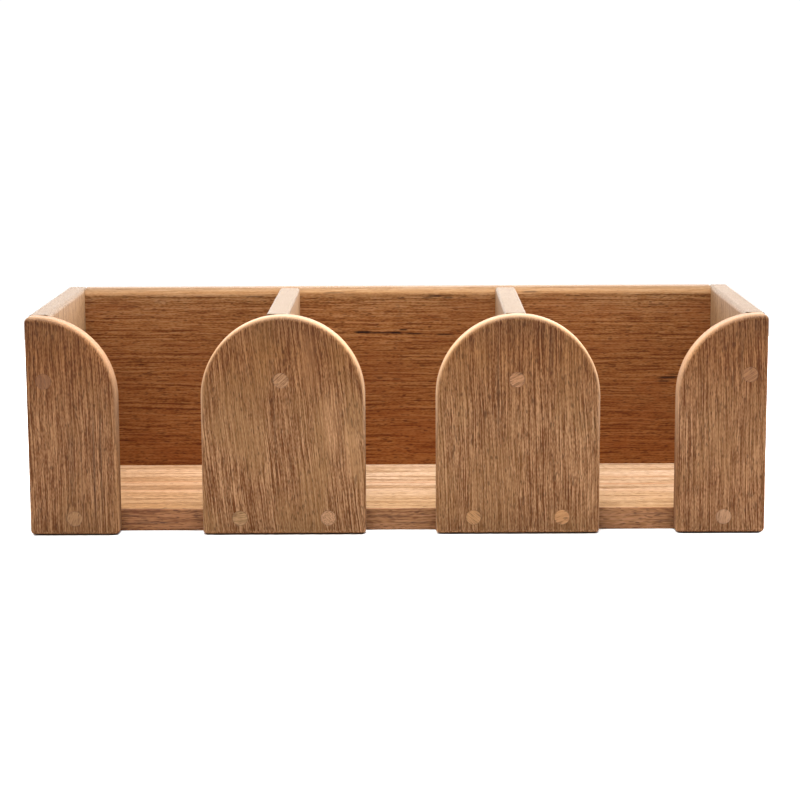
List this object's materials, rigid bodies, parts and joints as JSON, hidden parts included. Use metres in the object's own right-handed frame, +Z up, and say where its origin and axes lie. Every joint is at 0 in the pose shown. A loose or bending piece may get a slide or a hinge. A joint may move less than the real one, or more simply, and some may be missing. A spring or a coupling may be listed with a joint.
{
  "type": "three-compartment storage rack",
  "caption": "Low open-front wooden rack with upright dividers and round-topped front stops, for standing things up side by side.",
  "frame": {"origin": "on the floor under the middle of the footprint", "axes": "+X along the length, +Z up; the open front faces -Y"},
  "size_m": [0.4, 0.15, 0.12],
  "materials": {
    "stop_teak": "sanded, unfinished teak, weathered grey-brown",
    "back_teak": "sanded, unfinished teak, red-brown heartwood",
    "base_teak": "sanded, unfinished teak, golden",
    "side_teak": "sanded, unfinished teak, pale",
    "plug_teak": "sanded flush",
    "screw_steel": "plain stainless"
  },
  "bodies": {
    "root": {"arch_stop_left": "stop_teak", "arch_stop_left_plug_bottom_left": "plug_teak", "arch_stop_left_plug_bottom_right": "plug_teak", "arch_stop_left_plug_top": "plug_teak", "arch_stop_left_screws": "screw_steel", "arch_stop_right": "stop_teak", "arch_stop_right_plug_bottom_left": "plug_teak", "arch_stop_right_plug_bottom_right": "plug_teak", "arch_stop_right_plug_top": "plug_teak", "arch_stop_right_screws": "screw_steel", "back_panel": "back_teak", "back_panel_plugs": "plug_teak", "back_panel_screws": "screw_steel", "base_panel": "base_teak", "base_panel_screws": "screw_steel", "divider_left": "side_teak", "divider_right": "side_teak", "end_panel_left": "side_teak", "end_panel_left_plugs": "plug_teak", "end_panel_left_screws": "screw_steel", "end_panel_right": "side_teak", "end_panel_right_plugs": "plug_teak", "end_panel_right_screws": "screw_steel", "end_stop_left": "stop_teak", "end_stop_left_plug_bottom": "plug_teak", "end_stop_left_plug_top": "plug_teak", "end_stop_left_screws": "screw_steel", "end_stop_right": "stop_teak", "end_stop_right_plug_bottom": "plug_teak", "end_stop_right_plug_top": "plug_teak", "end_stop_right_screws": "screw_steel"}
  },
  "joints": []
}
